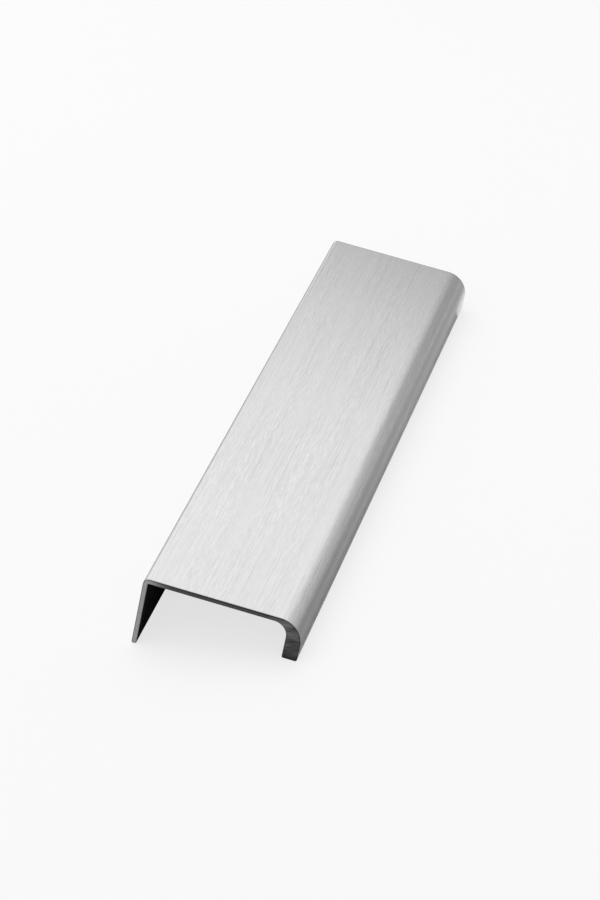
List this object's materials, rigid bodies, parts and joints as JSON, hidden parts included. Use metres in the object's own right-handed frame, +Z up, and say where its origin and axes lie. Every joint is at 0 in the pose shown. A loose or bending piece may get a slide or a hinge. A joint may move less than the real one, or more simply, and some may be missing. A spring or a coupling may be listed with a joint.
{
  "type": "edge pull",
  "caption": "Edge pull of extruded aluminium that laps over the top edge of a drawer front or door, with a thick bent lip for the fingers and a long drilled leg at the back.",
  "frame": {"origin": "on the floor under the middle of the pull, as it lies on the two feet of its section", "axes": "+Y along the length of the profile, +X towards the lip, +Z up; the section is turned 11.56 degrees about Y, because the leg is longer than the lip"},
  "size_m": [0.0418, 0.2, 0.0179],
  "materials": {
    "brushed_aluminium": "extruded, finely brushed along the length, stainless-steel look; plain saw-cut ends"
  },
  "bodies": {
    "root": {"edge_pull": "brushed_aluminium"}
  },
  "joints": []
}
